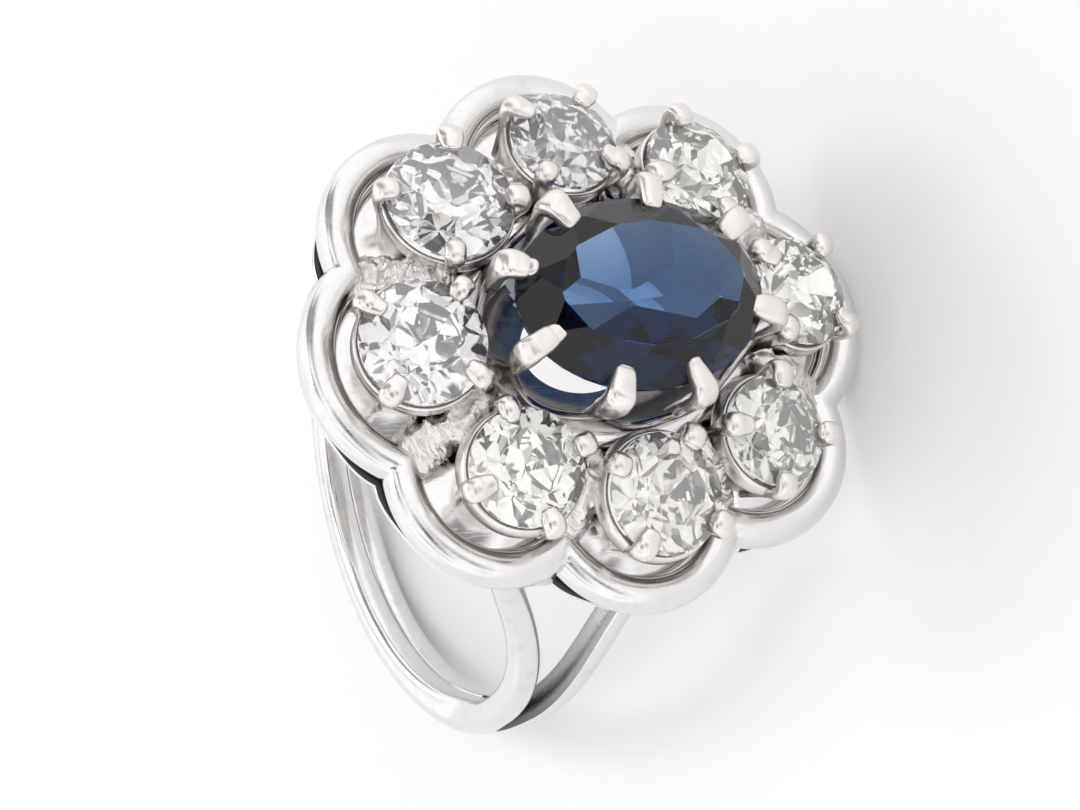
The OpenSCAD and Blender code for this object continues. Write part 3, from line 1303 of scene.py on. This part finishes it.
class CutStone:
    """A stone ground from a blank, one plane after another."""

    def __init__(self, radius: float, sides: int, dice: random.Random, slack: float) -> None:
        """Starts with a round blank.

        Args:
            radius: Radius of the girdle.
            sides: Number of flats round the girdle.
            dice: Source of the cutter's small errors.
            slack: Largest error of a slope, in degrees.
        """
        self.mesh = bmesh.new()
        self.radius = radius
        self.dice = dice
        self.slack = slack
        bmesh.ops.create_cone(self.mesh, cap_ends=True, segments=sides, radius1=radius, radius2=radius,
                              depth=4 * radius)

    def grind(self, normal: Vector, point: Vector) -> None:
        """Grinds away all that lies outside a plane.

        Args:
            normal: The plane's outward normal.
            point: A point on it.
        """
        geometry = self.mesh.verts[:] + self.mesh.edges[:] + self.mesh.faces[:]
        cut = bmesh.ops.bisect_plane(self.mesh, geom=geometry, dist=1e-5, plane_co=point, plane_no=normal,
                                     clear_outer=True)
        edges = [e for e in cut["geom_cut"] if isinstance(e, bmesh.types.BMEdge) and e.is_boundary]
        if edges:
            bmesh.ops.edgeloop_fill(self.mesh, edges=edges)

    def rows(self, up: int, *rows: Facets) -> None:
        """Grinds rows of facets.

        Args:
            up: 1 on the crown, -1 on the pavilion.
            rows: The rows in the order of cutting.
        """
        for row in rows:
            for i in range(row.count):
                a = row.first + 360 * i / row.count + self.dice.uniform(-2, 2) * self.slack
                ends = -math.cos(math.radians(2 * a))
                steeper = row.slope + ends * row.steeper_ends + self.dice.uniform(-1, 1) * self.slack
                slope = math.radians(steeper)
                way = unit(a)
                normal = Vector((way.x * math.sin(slope), way.y * math.sin(slope), up * math.cos(slope)))
                reach = (row.reach + ends * row.longer_ends) * self.radius
                self.grind(normal, Vector((way.x * reach, way.y * reach, up * row.height)))

    def finish(self, stretch: Vector, place: Matrix) -> Draft:
        """Stretches the stone, puts it in its place and drops slivers.

        Args:
            stretch: Scale of each axis.
            place: Moves the stone to its place.

        Returns:
            The drawing of the stone.
        """
        bmesh.ops.remove_doubles(self.mesh, verts=self.mesh.verts, dist=0.004)
        for vert in self.mesh.verts:
            vert.co = place @ (vert.co * stretch)
        bmesh.ops.recalc_face_normals(self.mesh, faces=self.mesh.faces)
        face_outward(self.mesh, self.mesh.faces[:])
        draft = Draft()
        draft.mesh.free()
        draft.mesh = self.mesh
        return draft


@dataclass
class Sapphire:
    """The oval middle stone, cut with a broad table."""

    plan: ClusterPlan
    finish: CutGem
    crown: float = 1.15
    depth: float = 2.45
    half_girdle: float = 0.06

    def dress(self) -> bpy.types.Object:
        """Cuts the stone and makes the piece.

        Returns:
            The new object.
        """
        long, half = self.plan.sapphire_long, self.half_girdle
        stone = CutStone(long, 48, random.Random(3), 0.7)
        stone.grind(UP, UP * self.crown)
        stone.rows(1, Facets(8, 0.0, 37.5, half, steeper_ends=4.8),
                   Facets(16, 11.25, 44.5, half, steeper_ends=5.0),
                   Facets(8, 22.5, 26.0, self.crown, reach=0.675, steeper_ends=2.0, longer_ends=0.05))
        stone.rows(-1, Facets(8, 0.0, 37.2, half, steeper_ends=8.8),
                   Facets(16, 11.25, 43.0, half, steeper_ends=7.5),
                   Facets(8, 22.5, 13.0, self.depth, reach=0.0, steeper_ends=1.5))
        stretch = Vector((self.plan.sapphire_short / long, 1, 1))
        made = stone.finish(stretch, Matrix.Translation(UP * self.plan.sapphire_z))
        return made.piece("cut_sapphire", [self.finish.material()], Slot.SAPPHIRE, ["sapphire"], None)


@dataclass
class OldCutDiamond:
    """A round old-cut diamond with a small table, high crown and open culet."""

    plan: ClusterPlan
    k: int
    finish: CutGem
    table: float = 0.36
    culet: float = 0.86
    half_girdle: float = 0.06

    def dress(self) -> bpy.types.Object:
        """Cuts the stone and makes the piece.

        Returns:
            The new object.
        """
        r, half = self.plan.diamond_r(self.k), self.half_girdle
        dice = random.Random(100 + self.k)
        stone = CutStone(r, 40, dice, 1.7)
        table = self.table * r + 0.02
        stone.grind(UP, UP * table)
        stone.grind(-UP, -UP * (self.culet * r))
        stone.rows(1, Facets(8, 0.0, 34.5, half), Facets(16, 11.25, 41.0, half),
                   Facets(8, 22.5, 21.0, table, reach=0.5))
        stone.rows(-1, Facets(8, 0.0, 41.0, half), Facets(16, 11.25, 45.0, half),
                   Facets(8, 22.5, 35.5, half + 0.505 * r, reach=0.45))
        spin = turned(dice.uniform(0, 45), "Z")
        made = stone.finish(Vector((1, 1, 1)), self.plan.diamond_place(self.k) @ spin)
        number = self.k + 1
        return made.piece(f"old_cut_diamond_{number}", [self.finish.material()], Slot.DIAMOND,
                          [f"diamond_{number}"], None)


# The near-black tint on the crown paints the stone's dark reflections into its colour
DARK_BLUE = CutGem("dark_blue_sapphire", tint=(0.97, 0.98, 1.0), cloud=(0.9, 0.95, 1.0), ior=1.77,
                   depth_colour=(0.0, 0.35, 0.69), density=570.0, gloss=(0.42, 0.42, 0.4),
                   rim=(0.06, 0.056, 0.034), rim_low=4.32, rim_high=5.45)


def ice(name: str, tint: Colour, clear: float) -> CutGem:
    """The finish of one tint of old-cut diamond.

    Args:
        name: Name of the material.
        tint: Its tint.
        clear: How clear it is, from milky at 0 to clear at 1.

    Returns:
        The finish.
    """
    cloud = tuple(0.95 * part for part in tint)
    return CutGem(name, tint, cloud, ior=2.417, depth_colour=tint, density=4.0, zone=1.4, clear=clear)


class Ice(Enum):
    """The tints of the diamonds."""

    COLD = (0.985, 0.985, 0.985)
    WARM = (0.995, 0.995, 0.95)
    BROWN = (0.99, 0.965, 0.93)


@dataclass(frozen=True)
class Mounting:
    """What differs from one diamond to the next, round from the near shoulder."""

    tint: Ice
    clear: float
    claw_turn: float
    lip: float


MOUNTINGS = (Mounting(Ice.BROWN, 0.88, 8, 0.21), Mounting(Ice.WARM, 0.88, -4, 0.2),
             Mounting(Ice.WARM, 0.92, 3, 0.12), Mounting(Ice.WARM, 0.92, 0, 0.1),
             Mounting(Ice.COLD, 0.88, 5, 0.1), Mounting(Ice.COLD, 0.91, -6, 0.1),
             Mounting(Ice.COLD, 0.935, -3, 0.11), Mounting(Ice.WARM, 0.935, 4, 0.22))


@dataclass
class Studio:
    """A white light tent with a port for the camera, a pale floor and the photograph's view."""

    focal: float = 180.0
    sensor: float = 36.0
    # The camera's place and the point that it looks at, in mm by the upright ring, and its roll
    camera_at: Place = (48.203, -89.4296, 156.4088)
    aim: Place = (1.5471, -1.4631, -1.8761)
    roll: float = -49.737
    ring_middle_h: float = 0.01
    port_angles: tuple[float, float] = (13.0, 10.0)
    port_light: float = 0.05
    tent_light: float = 1.32
    lamp_at: Place = (0.12, 0.25, 0.4)
    lamp_width: float = 0.18
    lamp_power: float = 0.25

    def place(self, name: str, data: bpy.types.ID) -> bpy.types.Object:
        """Makes an object and puts it in the scene.

        Args:
            name: Its name.
            data: Its mesh, camera or lamp.

        Returns:
            The new object.
        """
        made = bpy.data.objects.new(name, data)
        bpy.context.scene.collection.objects.link(made)
        return made

    def camera(self) -> bpy.types.Object:
        """Makes the camera.

        Returns:
            The new object.
        """
        look = (Vector(self.aim) - Vector(self.camera_at)).normalized()
        right = Quaternion(look, math.radians(self.roll)) @ look.cross(UP).normalized()
        axes = Matrix((right, right.cross(look), -look)).transposed().to_4x4()
        data = bpy.data.cameras.new("photograph_view")
        data.lens, data.sensor_width, data.sensor_fit = self.focal, self.sensor, "HORIZONTAL"
        data.clip_start, data.clip_end = 0.01, 20.0
        data.dof.use_dof = False
        made = self.place("photograph_view", data)
        made.matrix_world = laid_down() @ Matrix.Translation(Vector(self.camera_at) * MM) @ axes
        bpy.context.scene.camera = made
        return made

    def floor(self) -> None:
        """Makes the floor."""
        mesh = bmesh.new()
        bmesh.ops.create_grid(mesh, x_segments=8, y_segments=8, size=3.0)
        data = bpy.data.meshes.new("studio_floor")
        mesh.to_mesh(data)
        mesh.free()
        data.materials.append(StudioPaper().material())
        self.place("studio_floor", data)

    def tent(self, port: Vector) -> None:
        """Makes the light tent as the world's light.

        Args:
            port: The way to the camera, where the tent has a dark port.
        """
        world = bpy.data.worlds.new("light_tent")
        world.use_nodes = True
        bpy.context.scene.world = world
        board = Board(world.node_tree)
        way = board.add("ShaderNodeTexCoord").outputs["Generated"]
        towards = board.add("ShaderNodeVectorMath", {0: way, 1: port}, operation="DOT_PRODUCT")
        outer, inner = (math.cos(math.radians(angle)) for angle in self.port_angles)
        opening = board.ramp(towards.outputs["Value"], outer, inner, start=1.0, end=self.port_light)
        folds = board.ramp(board.noise(way, 1.9, detail=1.0, rough=0.4), low=0.36, high=0.5, start=0.25)
        height = board.add("ShaderNodeSeparateXYZ", {0: way}).outputs["Z"]
        pale = board.ramp(height, low=0.1, high=0.3, start=1.0, end=0.0)
        light = board.maths("MULTIPLY", board.maths("MAXIMUM", folds, pale), opening)
        tone = board.add("ShaderNodeCombineColor", {0: light, 1: light, 2: light}).outputs[0]
        sky = board.add("ShaderNodeBackground", {"Color": tone, "Strength": self.tent_light})
        board.add("ShaderNodeOutputWorld", {"Surface": sky.outputs[0]})

    def lamp(self) -> None:
        """Makes the soft lamp that faces the ring."""
        data = bpy.data.lights.new("key_lamp", "AREA")
        data.shape, data.size, data.energy = "DISK", self.lamp_width, self.lamp_power
        made = self.place("key_lamp", data)
        made.location = self.lamp_at
        made.rotation_mode = "QUATERNION"
        facing = UP * self.ring_middle_h - Vector(self.lamp_at)
        made.rotation_quaternion = facing.to_track_quat("-Z", "Y")

    def build(self) -> None:
        """Makes the camera, floor and light."""
        view = self.camera().matrix_world.translation
        self.floor()
        self.tent((view - UP * self.ring_middle_h).normalized())
        self.lamp()
        bpy.context.scene.view_settings.view_transform = "Standard"


def main() -> None:
    """Builds the ring piece by piece, then the studio."""
    logging.basicConfig(level=logging.INFO, format="%(name)s: %(message)s")
    # Unseeded, the noise that wears the solder and the claws would differ from run to run
    noise.seed_set(WEAR_SEED)
    FINISHES.update({polish: polish.value.material() for polish in Polish})
    plan = ClusterPlan()
    for part in (Shank(plan), ScallopedBorder(plan), GalleryPlate(plan), SolderBridges(plan), Coronet(plan),
                 Sapphire(plan, DARK_BLUE)):
        part.dress()
    for k, mounting in enumerate(MOUNTINGS):
        Collet(plan, k, mounting.claw_turn, mounting.lip).dress()
        OldCutDiamond(plan, k, ice(f"old_cut_ice_{k + 1}", mounting.tint.value, mounting.clear)).dress()
    Studio().build()


if __name__ == "__main__":
    main()
